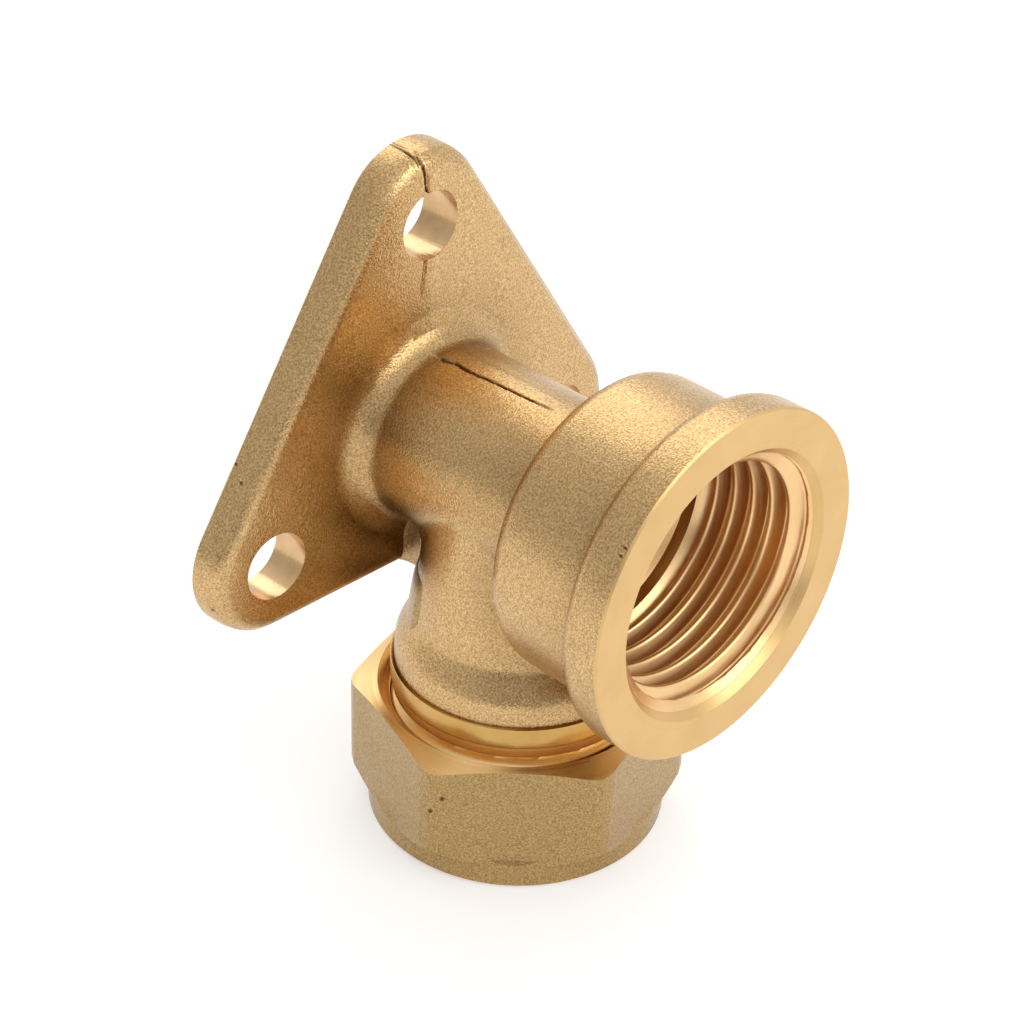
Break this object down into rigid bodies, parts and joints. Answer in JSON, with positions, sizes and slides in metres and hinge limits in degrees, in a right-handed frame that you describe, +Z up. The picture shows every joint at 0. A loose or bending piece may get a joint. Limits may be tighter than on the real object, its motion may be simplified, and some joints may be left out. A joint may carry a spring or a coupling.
{
  "type": "wall plate elbow",
  "caption": "Brass wall plate elbow: triangular screw plate, a neck to a flanged female threaded socket facing out, and a compression nut facing down for copper pipe.",
  "frame": {"origin": "where the socket's axis meets the wall plate's back face", "axes": "+Z up, +Y into the wall, the socket faces -Y and the pipe end faces -Z"},
  "size_m": [0.044, 0.035, 0.0551],
  "materials": {
    "forged_brass": "blasted forging, machined at the socket, holes and land",
    "nut_brass": "blasted hexagon, machined top and bore",
    "ring_brass": "turned bright"
  },
  "bodies": {
    "elbow": {"elbow_body": "forged_brass"},
    "ring": {"compression_ring": "ring_brass"},
    "nut": {"compression_nut": "nut_brass"}
  },
  "joints": [
    {"name": "nut_travel", "type": "slide", "parent": "elbow", "child": "ring", "axis": [0, 0, -1], "range_m": [0, 0.0041]},
    {"name": "nut_turn", "type": "hinge", "parent": "ring", "child": "nut", "pos_m": [0, -0.0145, -0.0258], "axis": [0, 0, -1], "range_deg": [0, 810]}
  ],
  "couplings": [
    {"joint": "nut_travel", "follows": "nut_turn", "m_per_rad": 0.00028871}
  ]
}
